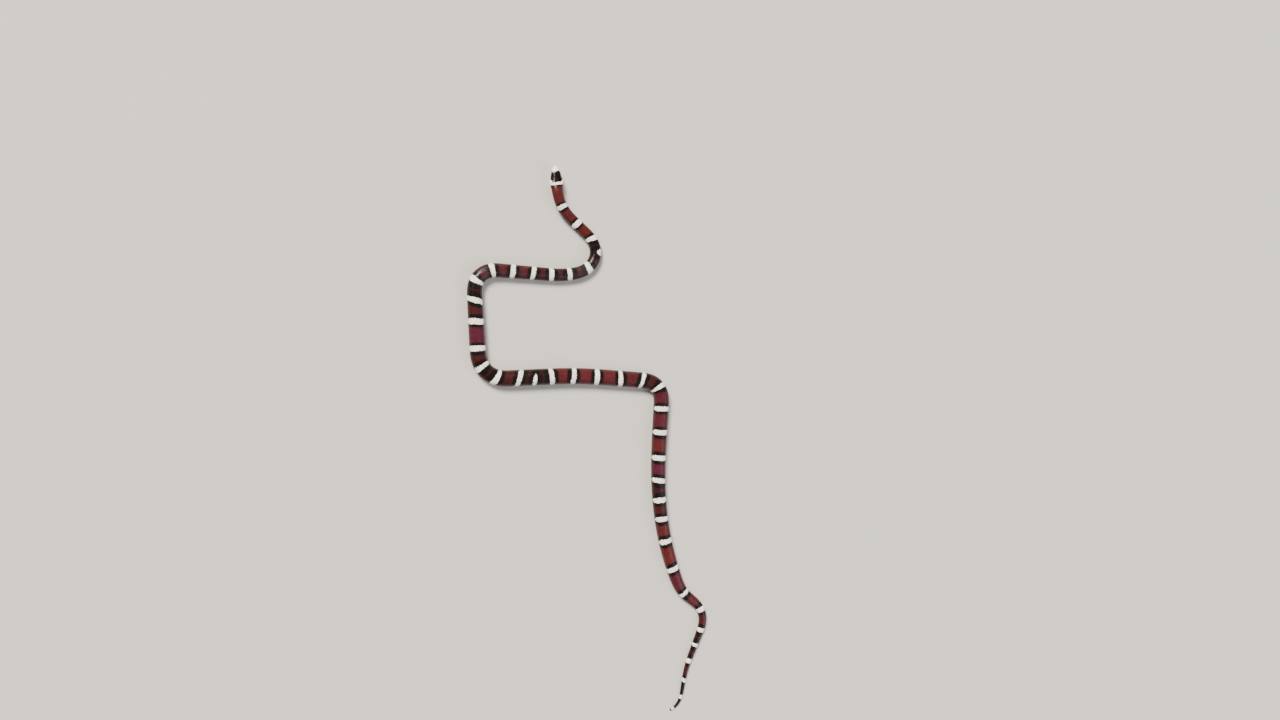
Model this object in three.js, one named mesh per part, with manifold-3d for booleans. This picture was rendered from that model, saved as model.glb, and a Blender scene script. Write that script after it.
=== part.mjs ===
// A milk snake at rest, life size: a slender, smooth, round-bodied snake lying flat with its head
// a little raised. Millimetres, +Z up, +Y from the tail end towards the head end, floor at z = 0.
// The snake is first described straight, by stations measured along it from the snout, and each
// station is then set on a spine that lies on the floor and turns at a few named bends.

import * as THREE from "three";
import { mergeVertices } from "three/addons/utils/BufferGeometryUtils.js";
import Module from "manifold-3d";

const manifold = await Module();
manifold.setup();

// Driving dimensions
const TOTAL_LENGTH = 548; // snout to tail tip, along the spine
const HEAD_END = 14; // where the head meets the neck, just behind the jaw
const VENT = 462; // where the trunk ends and the tail begins
const CUT = 0.3; // gap between two neighbouring lengths
const EYE_GAP = 0.16; // gap round each eye
const HEAD_LIFT = 3.6; // chin above the floor
const LIFT_FROM = 12; // the lifted neck comes down to the floor between these two stations
const LIFT_TO = 44;

// The pose. The spine leaves the snout on START_HEADING (0 is +X, 90 is +Y) and then bends.
const SNOUT = [-27.4, 177.4];
const START_HEADING = -85;
const BENDS = [
  // middle of the bend, length it is spread over, turn in degrees (left is positive)
  [24, 29, 44],
  [65, 39, -123],
  [88, 28, -19],
  [143, 28, 97],
  [205, 34, 89],
  [263, 48, -7],
  [317, 26, -88],
  [418, 157, 31],
  [459, 28, 40],
  [476, 33, -89],
  [516, 23, 12],
  [541, 17, -54],
];

// The shape of the straight snake: section sizes at stations along it. Heights are above the
// belly line; "wide" is the height at which the section is widest.
const HEAD_SHAPE = [
  // station, half width, height of the back, wide, height of the chin
  [0, 1.75, 3.0, 1.65, 0.7],
  [1.2, 1.95, 3.4, 1.6, 0.5],
  [2.6, 2.3, 3.85, 1.6, 0.3],
  [4.6, 2.9, 4.3, 1.65, 0.12],
  [7.2, 3.55, 4.6, 1.8, 0],
  [8.9, 4.05, 4.8, 1.95, 0],
  [10.6, 4.3, 5.0, 2.2, 0],
  [12.2, 4.1, 5.25, 2.4, 0],
  [14, 3.65, 5.6, 2.6, 0],
];
const BODY_HALF_WIDTHS = [
  // station, half width
  [19, 3.45],
  [50, 3.55],
  [75, 3.8],
  [105, 4.15],
  [140, 4.55],
  [190, 5.05],
  [300, 5.15],
  [340, 4.95],
  [400, 4.5],
  [430, 4.35],
  [447, 4.05],
  [462, 3.5],
  [476, 2.85],
  [489, 2.4],
  [512, 1.75],
  [536, 1.1],
  [548, 0.7],
];
const BACK_SHARE = 1.78; // height of the back, as a share of the half width
const WIDE_SHARE = 0.82;
const SHAPE = [
  ...HEAD_SHAPE,
  ...BODY_HALF_WIDTHS.map(([s, half]) => [s, half, half * BACK_SHARE, half * WIDE_SHARE, 0]),
];
const SNOUT_ROUND = 1.9; // length over which the snout rounds in
const TIP_ROUND = 1.4; // and the tail tip
const BACK_POWER = 2.15; // 2 is an ellipse, more is squarer
const BELLY_POWER = 2.7;
const BELLY_SINK = 0.22; // the belly would reach this far below the floor, which presses it flat

// Head features
const MOUTH_LINE = [
  // station, height of the line between the lips
  [0, 1.15],
  [2.5, 1.25],
  [5, 1.2],
  [7.5, 1.3],
  [9.8, 1.9],
  [14, 2.4],
];
const MOUTH_CORNER = 10;
const CORNER_FADE = 0.6; // the groove runs out over this much either side of the corner
const LIP_HALF = 0.15; // half the width of the groove between the lips
const MOUTH_DEPTH = 0.3;
const LIP_SWELL = 0.08;
const EYE = { station: 4.7, height: 2.5, radius: 1.02, bulge: 0.28 };
const NOSTRIL = { station: 1.3, height: 2.1, radius: 0.28, depth: 0.08 };
const RELIEF = [
  // name, station, angle from the crown in degrees, spread along, spread round, swell
  ["brow ridge", 4.7, 44, 1.5, 13, 0.2],
  ["hollow before the eye", 2.9, 66, 0.8, 15, -0.14],
  ["temple behind the eye", 7.0, 60, 1.2, 16, -0.12],
  ["cheek muscle", 9.4, 84, 1.8, 24, 0.12],
  ["furrow of the crown", 8.4, 0, 2.4, 9, -0.1],
];

// Fineness of the facets
const BODY_STEP = 3; // between two stations of a length of the body
const HEAD_STEP = 0.42;
const BACK_ROWS = 11; // vertex rows on each side, from the crown to the lip
const CHIN_ROWS = 6;
const BODY_SIDES = 20;
const SNOUT_RINGS = 6;
const TIP_RINGS = 4;
const SHARPEST = 0.02; // the end rings stop this short of the snout and the tail's tip
const SOCKET_SIDES = 20;
const EYE_SIDES = 16;
const NOSTRIL_SIDES = 10;
const BALL_ROWS = 0.6; // rows from pole to pole of a ball, as a share of its sides

const radians = THREE.MathUtils.degToRad;
const smooth = (from, to, x) => THREE.MathUtils.smoothstep(x, from, to);

// A smooth curve through a table whose rows start with a station; column is the value wanted.
function between(table, column, station) {
  const last = table.length - 1;
  const x = THREE.MathUtils.clamp(station, table[0][0], table[last][0]);
  let i = 0;
  while (i < last - 1 && table[i + 1][0] < x) i += 1;
  const slope = (k) => {
    const a = table[Math.max(k - 1, 0)];
    const b = table[Math.min(k + 1, last)];
    return (b[column] - a[column]) / (b[0] - a[0]);
  };
  const [p, q] = [table[i], table[i + 1]];
  const span = q[0] - p[0];
  const t = (x - p[0]) / span;
  const u = 1 - t;
  return (
    p[column] * u * u * (1 + 2 * t) +
    q[column] * t * t * (3 - 2 * t) +
    span * t * u * (slope(i) * u - slope(i + 1) * t)
  );
}

// The spine: where a station lies on the floor, and the way it heads.
const SPINE_STEP = 0.5;
const heading = (station) =>
  BENDS.reduce(
    (angle, [middle, over, turn]) =>
      angle + turn * smooth(middle - over / 2, middle + over / 2, station),
    START_HEADING,
  );
const spine = [new THREE.Vector2(...SNOUT)];
for (let s = 0; s < TOTAL_LENGTH; s += SPINE_STEP) {
  const way = radians(heading(s + SPINE_STEP / 2));
  const step = new THREE.Vector2(Math.cos(way), Math.sin(way)).multiplyScalar(SPINE_STEP);
  spine.push(spine[spine.length - 1].clone().add(step));
}
const lift = (station) => HEAD_LIFT * (1 - smooth(LIFT_FROM, LIFT_TO, station));

// Sets a point of the straight snake on the spine. left is towards the snake's own left.
function onSpine(station, left, up) {
  const place = THREE.MathUtils.clamp(station / SPINE_STEP, 0, spine.length - 2);
  const i = Math.floor(place);
  const on = spine[i].clone().lerp(spine[i + 1], place - i);
  const way = radians(heading(station));
  return new THREE.Vector3(
    on.x + left * Math.sin(way),
    on.y - left * Math.cos(way),
    Math.max(up + lift(station), 0),
  );
}

// How far the section has opened at a station, from 0 at either end of the snake to 1.
function opened(station) {
  const fromSnout = Math.min(station / SNOUT_ROUND, 1);
  const fromTip = Math.min((TOTAL_LENGTH - station) / TIP_ROUND, 1);
  const t = Math.min(fromSnout, fromTip);
  return Math.sqrt(Math.max(0, 1 - (1 - t) ** 2));
}

function sizesAt(station) {
  const open = opened(station);
  const wide = between(SHAPE, 3, station);
  return {
    half: between(SHAPE, 1, station) * open,
    wide,
    rise: (between(SHAPE, 2, station) - wide) * open,
    drop: (wide - between(SHAPE, 4, station)) * open,
  };
}

// The swell of the head's surface at a station and an angle from the crown.
const relief = (station, angle) =>
  RELIEF.reduce((sum, [, at, turn, along, round, swell]) => {
    const x = (station - at) / along;
    const y = (THREE.MathUtils.radToDeg(angle) - turn) / round;
    return sum + swell * Math.exp(-x * x - y * y);
  }, 0);

// One side of the section, as [left, up], at an angle from the crown (0) to the belly (pi).
function sectionPoint(station, angle) {
  const { half, wide, rise, drop } = sizesAt(station);
  const above = angle < Math.PI / 2;
  const power = above ? BACK_POWER : BELLY_POWER;
  const across = Math.abs(Math.sin(angle)) ** (2 / power);
  const along = Math.abs(Math.cos(angle)) ** (2 / power);
  const reach = above ? rise : -(drop + BELLY_SINK * smooth(HEAD_END, LIFT_TO, station));
  const swell = station < HEAD_END ? relief(station, angle) * opened(station) : 0;
  const left = half * across + swell * Math.sin(angle);
  const up = wide + reach * along + swell * Math.cos(angle);
  return [left, up];
}

// The angle from the crown at which the section stands at a height.
function angleAt(station, height) {
  const { wide, rise, drop } = sizesAt(station);
  const above = height > wide;
  const share = above ? (height - wide) / rise : (wide - height) / drop;
  const cosine = Math.min(Math.max(share, 0), 1) ** ((above ? BACK_POWER : BELLY_POWER) / 2);
  return above ? Math.acos(cosine) : Math.PI - Math.acos(cosine);
}

// A closed mesh over rings of points, with a flat fan over each end.
function loft(rings) {
  const sides = rings[0].length;
  const points = rings.flat();
  const middle = (ring) =>
    ring.reduce((sum, p) => sum.add(p), new THREE.Vector3()).divideScalar(sides);
  points.push(middle(rings[0]), middle(rings[rings.length - 1]));
  const [front, back] = [points.length - 2, points.length - 1];
  const index = [];
  for (let side = 0; side < sides; side += 1) {
    const next = (side + 1) % sides;
    index.push(front, next, side);
    for (let i = 0; i + 1 < rings.length; i += 1) {
      const [a, b] = [i * sides + side, i * sides + next];
      index.push(a, b, a + sides, b, b + sides, a + sides);
    }
    const lastRing = (rings.length - 1) * sides;
    index.push(back, lastRing + side, lastRing + next);
  }
  return new THREE.BufferGeometry().setFromPoints(points).setIndex(index);
}

const stationsBetween = (from, to, step) => {
  const count = Math.max(2, Math.round((to - from) / step));
  return Array.from({ length: count + 1 }, (_, i) => from + ((to - from) * i) / count);
};

// A length of the neck, trunk or tail.
function bodyLength(from, to) {
  const end = Math.min(to - CUT / 2, TOTAL_LENGTH);
  const stations = stationsBetween(from + CUT / 2, end, BODY_STEP);
  if (to > TOTAL_LENGTH) {
    const shares = stationsBetween(0, 1, 1 / TIP_RINGS).slice(0, -1);
    const tip = shares.map((t) => TOTAL_LENGTH - TIP_ROUND * (1 - t) ** 2);
    stations.splice(-1, 1, ...tip, TOTAL_LENGTH - SHARPEST);
  }
  const rings = stations.map((station) =>
    Array.from({ length: BODY_SIDES }, (_, i) => {
      const turn = (2 * Math.PI * i) / BODY_SIDES;
      const side = turn <= Math.PI ? 1 : -1;
      const [left, up] = sectionPoint(station, side > 0 ? turn : 2 * Math.PI - turn);
      return onSpine(station, side * left, up);
    }),
  );
  return loft(rings);
}

// The head, whose vertex rows follow the line of the mouth, so that the lips have clean edges.
function headRing(station) {
  const line = between(MOUTH_LINE, 1, station);
  const open = opened(station);
  const shut = 1 - smooth(MOUTH_CORNER - CORNER_FADE, MOUTH_CORNER + CORNER_FADE, station);
  const upper = angleAt(station, line + LIP_HALF * open);
  const lower = angleAt(station, line - LIP_HALF * open);
  const half = [];
  for (let i = 0; i <= BACK_ROWS; i += 1) half.push([(upper * i) / BACK_ROWS, 0]);
  half[BACK_ROWS][1] = LIP_SWELL * shut * open;
  half.push([(upper + lower) / 2, -MOUTH_DEPTH * shut * open]);
  for (let i = 0; i <= CHIN_ROWS; i += 1) {
    half.push([lower + ((Math.PI - lower) * i) / CHIN_ROWS, 0]);
  }
  const leftSide = half.map(([angle, out]) => {
    const [left, up] = sectionPoint(station, angle);
    return [left + out, up];
  });
  const rightSide = leftSide.slice(1, -1).reverse().map(([left, up]) => [-left, up]);
  return [...leftSide, ...rightSide].map(([left, up]) => onSpine(station, left, up));
}

function headGeometry() {
  const shares = stationsBetween(0, 1, 1 / SNOUT_RINGS).slice(1);
  const snout = [SHARPEST, ...shares.map((t) => SNOUT_ROUND * t * t)];
  const rest = stationsBetween(SNOUT_ROUND, HEAD_END - CUT / 2, HEAD_STEP).slice(1);
  return loft([...snout, ...rest].map(headRing));
}

// Solids for cutting
function toSolid(geometry) {
  const bare = geometry.clone();
  bare.deleteAttribute("normal");
  bare.deleteAttribute("uv");
  const merged = mergeVertices(bare, 1e-4);
  return new manifold.Manifold(
    new manifold.Mesh({
      numProp: 3,
      vertProperties: merged.attributes.position.array,
      triVerts: new Uint32Array(merged.index.array),
    }),
  );
}

function toGeometry(solid) {
  const mesh = solid.getMesh();
  return new THREE.BufferGeometry()
    .setAttribute("position", new THREE.BufferAttribute(mesh.vertProperties, 3))
    .setIndex(new THREE.BufferAttribute(mesh.triVerts, 1));
}

function ball(radius, centre, sides) {
  const sphere = new THREE.SphereGeometry(radius, sides, Math.round(sides * BALL_ROWS));
  return sphere.rotateZ(radians(90)).translate(...centre.toArray());
}

// The point of the head's side at a station and height, moved in by depth.
function onHeadSide(station, height, side, depth) {
  const [left] = sectionPoint(station, angleAt(station, height));
  return onSpine(station, side * (left - depth), height);
}

const eyeCentre = (side) =>
  onHeadSide(EYE.station, EYE.height, side, EYE.radius - EYE.bulge);

function headWithSockets() {
  let solid = toSolid(headGeometry());
  for (const side of [1, -1]) {
    solid = solid.subtract(toSolid(ball(EYE.radius + EYE_GAP, eyeCentre(side), SOCKET_SIDES)));
    const nostril = onHeadSide(NOSTRIL.station, NOSTRIL.height, side, NOSTRIL.depth);
    solid = solid.subtract(toSolid(ball(NOSTRIL.radius, nostril, NOSTRIL_SIDES)));
  }
  return toGeometry(solid);
}

// Finishes
const finish = (color, roughness) =>
  new THREE.MeshStandardMaterial({ color, roughness, metalness: 0 });
const scales = finish(0x6e2526, 0.35);
const headShield = finish(0x15110f, 0.3);
const eyeGloss = finish(0x0a0706, 0.08);

// Nodes
const LENGTHS = [
  ["neck", HEAD_END, 46],
  ["trunk_1", 46, 115],
  ["trunk_2", 115, 175],
  ["trunk_3", 175, 238],
  ["trunk_4", 238, 298],
  ["trunk_5", 298, 345],
  ["trunk_6", 345, 405],
  ["trunk_7", 405, VENT],
  ["tail_1", VENT, 506],
  ["tail_2", 506, TOTAL_LENGTH + CUT],
];

const snake = new THREE.Group();
function addNode(name, geometry, material) {
  geometry.computeVertexNormals();
  const mesh = new THREE.Mesh(geometry, material);
  mesh.name = name;
  snake.add(mesh);
}

addNode("head", headWithSockets(), headShield);
addNode("eye_left", ball(EYE.radius, eyeCentre(1), EYE_SIDES), eyeGloss);
addNode("eye_right", ball(EYE.radius, eyeCentre(-1), EYE_SIDES), eyeGloss);
for (const [name, from, to] of LENGTHS) addNode(name, bodyLength(from, to), scales);

export default snake;
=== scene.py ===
# A milk snake at rest, life size: one skin from snout to tail tip, with glossy scales laid over it,
# scutes under the belly, shields on the head and two dark eyes, on a plain pale floor.
# Sizes are millimetres until a mesh is made. Stations are measured along the snake from the snout.

import math

import bmesh
import bpy
import numpy as np
from mathutils import Matrix, Vector


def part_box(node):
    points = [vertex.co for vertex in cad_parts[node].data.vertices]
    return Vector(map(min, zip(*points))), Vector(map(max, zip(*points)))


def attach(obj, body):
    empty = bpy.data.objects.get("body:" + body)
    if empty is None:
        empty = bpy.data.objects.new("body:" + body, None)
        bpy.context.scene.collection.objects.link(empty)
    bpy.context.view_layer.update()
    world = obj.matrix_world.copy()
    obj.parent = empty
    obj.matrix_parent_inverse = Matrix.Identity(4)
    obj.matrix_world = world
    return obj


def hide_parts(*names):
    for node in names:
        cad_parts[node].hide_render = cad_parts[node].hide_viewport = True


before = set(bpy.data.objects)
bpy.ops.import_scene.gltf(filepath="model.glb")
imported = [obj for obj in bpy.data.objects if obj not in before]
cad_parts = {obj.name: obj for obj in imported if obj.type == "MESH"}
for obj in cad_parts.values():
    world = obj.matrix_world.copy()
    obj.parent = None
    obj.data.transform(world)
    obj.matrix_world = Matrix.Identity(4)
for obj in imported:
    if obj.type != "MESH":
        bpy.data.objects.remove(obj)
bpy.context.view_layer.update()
MM = 0.001

# Driving dimensions of the animal, the same as the solids'
TOTAL_LENGTH = 548
HEAD_END = 14
VENT = 462
HEAD_LIFT = 3.6  # of the head, falling to nothing between these stations
LIFT_FROM = 12
LIFT_TO = 44
SNOUT = (-27.4, 177.4)
START_HEADING = -85  # degrees, from the snout backwards
BENDS = [
    # middle of the bend, length it is spread over, turn in degrees (left is positive)
    (24, 29, 44), (65, 39, -123), (88, 28, -19), (143, 28, 97),
    (205, 34, 89), (263, 48, -7), (317, 26, -88), (418, 157, 31),
    (459, 28, 40), (476, 33, -89), (516, 23, 12), (541, 17, -54),
]
HEAD_SHAPE = [
    # station, half width, height of the back, height of the widest place, height of the chin
    (0, 1.75, 3.0, 1.65, 0.7),
    (1.2, 1.95, 3.4, 1.6, 0.5),
    (2.6, 2.3, 3.85, 1.6, 0.3),
    (4.6, 2.9, 4.3, 1.65, 0.12),
    (7.2, 3.55, 4.6, 1.8, 0),
    (8.9, 4.05, 4.8, 1.95, 0),
    (10.6, 4.3, 5.0, 2.2, 0),
    (12.2, 4.1, 5.25, 2.4, 0),
    (14, 3.65, 5.6, 2.6, 0),
]
BODY_HALF_WIDTHS = [
    # station, half width
    (19, 3.45), (50, 3.55), (75, 3.8), (105, 4.15), (140, 4.55), (190, 5.05), (300, 5.15),
    (340, 4.95), (400, 4.5), (430, 4.35), (447, 4.05), (462, 3.5), (476, 2.85), (489, 2.4),
    (512, 1.75), (536, 1.1), (548, 0.7),
]
BACK_SHARE = 1.78  # heights for a half width of 1
WIDE_SHARE = 0.82
SHAPE = HEAD_SHAPE + [(s, w, w * BACK_SHARE, w * WIDE_SHARE, 0) for s, w in BODY_HALF_WIDTHS]
SNOUT_ROUND = 1.9  # lengths over which the ends round off
TIP_ROUND = 1.4
BACK_POWER = 2.15  # how square the section is; 2 is an oval
BELLY_POWER = 2.7
BELLY_SINK = 0.22  # what the floor presses flat
MOUTH_LINE = [(0, 1.15), (2.5, 1.25), (5, 1.2), (7.5, 1.3), (9.8, 1.9), (14, 2.4)]  # station, height
MOUTH_START = 0.29  # below the tip of the snout
MOUTH_CORNER = 10
RELIEF = [
    # station, angle from the crown in degrees, spread along, spread round, swell
    (4.7, 44, 1.5, 13, 0.2),  # brow ridge
    (2.9, 66, 0.8, 15, -0.14),  # hollow before the eye
    (7.0, 60, 1.2, 16, -0.12),  # temple
    (9.4, 84, 1.8, 24, 0.12),  # cheek muscle
    (8.4, 0, 2.4, 9, -0.1),  # furrow of the crown
]

# The coat
COAT = 0.18  # depth of the skin below the tips of the scales
COAT_FULL_AT = 3  # half width from which the coat has its full depth
COAT_LEAST = 0.3  # share of the depth that is kept on the thinnest places
VENTRAL_EDGE = 0.68  # share of the half girth where scales meet belly scutes
SCALE_SIDES = 16
PITCH = [
    # station, length of the snake that one cross row of scales takes
    (0, 1.0), (14, 1.35), (40, 1.9), (80, 2.2),
    (440, 2.25), (462, 2.1), (500, 1.75), (548, 1.2),
]
BEFORE = -20  # stations off the snake, for what has no beginning or no end
PAST = 600
ROWS = [
    # the middle row of scales, then the rows on each side of it: weight, first and last station
    (1.0, BEFORE, PAST),
    (1.0, BEFORE, PAST),
    (1.0, BEFORE, 518),
    (1.0, BEFORE, 500),
    (1.0, BEFORE, 476),
    (1.0, BEFORE, 468),
    (1.0, BEFORE, 400),
    (1.0, 48, 305),
    (1.05, BEFORE, 463),
    (1.15, BEFORE, 488),
    (1.35, BEFORE, PAST),
]
ROW_FADE = 5  # distance over which a row narrows to its end
ROW_SHIFT = 12  # and the rows inside it shift
ROW_LEAST = 0.4  # a row of less weight has no scales

# The markings
RINGS = [
    # centre and width of the white ring, its lean (left side later), then the saddle behind it:
    # how red, how cool a red, and how wide the black that borders it is on the back
    (1.2, 4.9, 0.7, 0.0, 0.0, 6.0),
    (11.2, 1.5, 0.3, 0.8, 0.0, 1.1),
    (25.8, 2.7, -0.2, 0.7, 0.1, 1.4),
    (39.8, 3.1, -0.2, 0.75, 0.1, 1.5),
    (52.9, 2.9, -0.8, 0.15, 0.3, 2.2),
    (62.1, 2.8, 0.0, 0.3, 0.1, 2.6),
    (73.3, 3.3, -0.7, 0.3, 0.1, 3.0),
    (86.3, 2.8, 0.0, 0.35, 0.3, 2.8),
    (97.9, 2.8, 0.2, 0.4, 0.4, 2.5),
    (109.4, 2.6, -0.6, 0.55, 0.5, 2.2),
    (122.2, 2.8, -0.2, 0.55, 0.5, 2.2),
    (134.7, 2.8, 0.6, 0.45, 0.5, 2.2),
    (146.9, 2.9, -0.4, 0.12, 0.3, 3.2),
    (158.9, 3.2, -1.6, 0.4, 0.3, 2.4),
    (172.0, 3.6, -0.4, 0.85, 0.9, 1.6),
    (188.6, 3.3, 0.0, 0.35, 0.1, 2.2),
    (200.2, 2.7, 0.6, 0.12, 0.0, 3.0),
    (212.0, 3.2, -1.3, 0.35, 0.2, 2.4),
    (226.0, 2.8, -1.6, 0.2, 0.2, 2.6),
    (235.9, 2.4, -0.8, 0.1, 0.2, 3.0),
    (246.3, 2.8, 0.4, 0.8, 0.3, 2.6),
    (260.3, 2.8, -0.4, 0.85, 0.35, 2.2),
    (275.3, 3.0, 0.0, 0.85, 0.4, 2.1),
    (290.6, 2.7, 0.3, 0.65, 0.4, 2.4),
    (305.0, 2.3, -1.2, 0.4, 0.2, 2.4),
    (316.8, 2.6, -0.9, 0.7, 0.6, 2.2),
    (331.5, 2.9, 0.0, 0.75, 0.6, 1.8),
    (346.9, 3.2, 0.0, 0.8, 0.2, 2.4),
    (363.6, 3.1, -0.3, 0.85, 0.9, 2.3),
    (378.4, 3.1, -0.8, 0.3, 0.8, 3.0),
    (391.2, 3.2, 0.0, 0.45, 0.3, 2.3),
    (403.9, 2.9, -0.3, 0.8, 0.3, 2.4),
    (419.0, 3.1, 0.0, 1.0, 0.0, 2.4),
    (438.3, 3.2, 0.5, 0.75, 0.6, 2.0),
    (457.0, 2.6, 0.1, 0.75, 0.4, 2.8),
    (473.9, 3.3, -0.2, 0.5, 0.2, 2.4),
    (488.8, 2.7, 0.0, 0.2, 0.0, 3.0),
    (499.4, 2.2, 0.0, 0.25, 0.0, 3.0),
    (510.9, 3.1, 0.0, 0.35, 0.4, 2.0),
    (524.4, 2.7, -0.5, 0.05, 0.2, 3.5),
    (535.8, 2.7, 0.0, 0.1, 0.0, 3.5),
    (545.6, 2.2, 0.0, 0.0, 0.0, 3.0),
]
ALWAYS = 9.0  # further than any marking reaches
RIGHT_SPOT = 62.1  # this ring is only an oval spot on the snake's right
SPOT_LENGTH = 1.6  # half of it, in millimetres
SPOT_SHARE = -0.26  # its middle and half width, as shares
SPOT_SPREAD = 0.23
SPOT_ALONE = 4  # distance within which it is the only white
LEFT_HALF_RING = 235.9  # and this one stays on its left, from this share on
HALF_RING_FROM = -0.16
SHORT_RINGS = (320, 432)  # rings between these stations end halfway down the left flank
SHORT_RING_END = 0.5
RING_TAPER = 0.45  # how much narrower a ring is on the flank, and where that comes in
RING_TAPERS = (0.22, 0.6)
RING_END = 0.2  # share over which the end of a broken ring is rounded
RING_GONE = 0.6  # distance to the white past such an end
BORDER_ON_BACK = 1.1  # width of the black against the table's
BORDER_SHIFTS = [(-0.15, 0.08, 0.35), (0.9, 0.66, 0.95)]  # its changes down the side
FLANK_PIGMENT_AND_SHADE = 0.6  # how much darker the red is on the flank, partly pigment and partly painted shade of the flank turned from the light, and where that comes in
FLANK_PIGMENT_AND_SHADE_SPAN = (0.2, 0.5)
CAP_ABOVE_LIP = 0.04  # share between the black cap and the mouth
CAP_WAVE = 0.03  # height and pace of its wavy edge
CAP_WAVES = 2.4
CAP_RISE = 0.2  # and its rise behind the eye, between these stations
CAP_RISES = (6.5, 10.3)
CHEEK_END = 11.6  # end of the white of cheeks and throat

rng = np.random.default_rng(11)


def smooth(low, high, x):
    t = np.clip((np.asarray(x, float) - low) / (high - low), 0, 1)
    return t * t * (3 - 2 * t)


def between(table, column, station):
    """A smooth curve through one column of a table whose rows start with a station."""
    at = np.array([row[0] for row in table], float)
    value = np.array([row[column] for row in table], float)
    before = np.maximum(np.arange(len(at)) - 1, 0)
    after = np.minimum(np.arange(len(at)) + 1, len(at) - 1)
    slope = (value[after] - value[before]) / (at[after] - at[before])
    x = np.clip(station, at[0], at[-1])
    i = np.clip(np.searchsorted(at, x) - 1, 0, len(at) - 2)
    span = at[i + 1] - at[i]
    t = (x - at[i]) / span
    u = 1 - t
    curve = value[i] * u * u * (1 + 2 * t) + value[i + 1] * t * t * (3 - 2 * t)
    return curve + span * t * u * (slope[i] * u - slope[i + 1] * t)


# The spine, laid on the floor
SPINE_STEP = 0.5


def heading(station):
    angle = np.full(np.shape(station), START_HEADING, float)
    for middle, over, turn in BENDS:
        angle = angle + turn * smooth(middle - over / 2, middle + over / 2, station)
    return np.radians(angle)


spine_at = np.arange(0, TOTAL_LENGTH + SPINE_STEP / 2, SPINE_STEP)
spine_way = heading(spine_at[:-1] + SPINE_STEP / 2)
spine_x = SNOUT[0] + np.append(0, np.cumsum(np.cos(spine_way) * SPINE_STEP))
spine_y = SNOUT[1] + np.append(0, np.cumsum(np.sin(spine_way) * SPINE_STEP))


def lift(station):
    return HEAD_LIFT * (1 - smooth(LIFT_FROM, LIFT_TO, station))


# The section of the snake at a station
def opened(station):
    t = np.minimum(np.minimum(station / SNOUT_ROUND, (TOTAL_LENGTH - station) / TIP_ROUND), 1)
    return np.sqrt(np.clip(1 - (1 - t) ** 2, 0, 1))


def sizes(station):
    open_ = opened(station)
    wide = between(SHAPE, 3, station)
    half = between(SHAPE, 1, station) * open_
    rise = (between(SHAPE, 2, station) - wide) * open_
    drop = (wide - between(SHAPE, 4, station)) * open_
    return half, wide, rise, drop


def relief(station, turn):
    total = 0
    for at, angle, along, around, swell in RELIEF:
        x = (station - at) / along
        y = (np.degrees(turn) - angle) / around
        total = total + swell * np.exp(-x * x - y * y)
    return np.where(station < HEAD_END, total, 0) * opened(station)


def place(station, turn):
    """The point of the snake's outer surface at a station and a turn from the crown to the left."""
    station = np.clip(station, 0, TOTAL_LENGTH)
    turn = (turn + math.pi) % (2 * math.pi) - math.pi
    half, wide, rise, drop = sizes(station)
    drop = drop + BELLY_SINK * smooth(HEAD_END, LIFT_TO, station)
    away = np.abs(turn)
    above = away < math.pi / 2
    power = np.where(above, BACK_POWER, BELLY_POWER)
    swell = relief(station, away)
    across = np.abs(np.sin(away)) ** (2 / power)
    along = np.abs(np.cos(away)) ** (2 / power)
    left = np.where(turn < 0, -1, 1) * (half * across + swell * np.sin(away))
    up = wide + np.where(above, rise, -drop) * along + swell * np.cos(away)
    way = heading(station)
    x = np.interp(station, spine_at, spine_x) + left * np.sin(way)
    y = np.interp(station, spine_at, spine_y) - left * np.cos(way)
    return np.stack([x, y, np.maximum(up + lift(station), 0)], -1)


# The girth: a share of the half girth runs from 0 at the crown to 1 under the belly, and is
# positive on the left. Shares are even along the girth, which turns are not.
GIRTH_STEPS = [
    # from and to a station, and the step between the places where the girth is measured
    (0.05, 3, 0.1),
    (3, HEAD_END, 0.4),
    (HEAD_END, TOTAL_LENGTH - 2, 2.0),
    (TOTAL_LENGTH - 2, TOTAL_LENGTH, 0.25),
]
girth_at = np.concatenate([np.arange(*steps) for steps in GIRTH_STEPS])
turns = np.linspace(0, math.pi, 121)
shares = np.linspace(0, 1, 61)
half_sections = place(girth_at[:, None], turns[None, :])
steps = np.linalg.norm(np.diff(half_sections, axis=1), axis=2)
arcs = np.concatenate([np.zeros((len(girth_at), 1)), np.cumsum(steps, axis=1)], axis=1)
half_girths = arcs[:, -1]
turn_table = np.array([np.interp(shares, arc / arc[-1], turns) for arc in arcs])


def half_girth(station):
    return np.interp(station, girth_at, half_girths)


def turn_at(station, share):
    row = np.interp(station, girth_at, np.arange(len(girth_at)))
    column = np.clip(np.abs(share), 0, 1) * (len(shares) - 1)
    i = np.minimum(row.astype(int), len(girth_at) - 2)
    j = np.minimum(column.astype(int), len(shares) - 2)
    a = row - i
    b = column - j
    first = turn_table[i, j] * (1 - b) + turn_table[i, j + 1] * b
    second = turn_table[i + 1, j] * (1 - b) + turn_table[i + 1, j + 1] * b
    return (first * (1 - a) + second * a) * np.where(share < 0, -1, 1)


def coat_depth(station):
    return COAT * np.clip(between(SHAPE, 1, station) / COAT_FULL_AT, COAT_LEAST, 1)


NEAR = 0.04  # reach of the surface's slope, in millimetres
NEAR_TURN = 0.03  # and radians
END_GAP = 0.004  # no point lies nearer to an end


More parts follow.
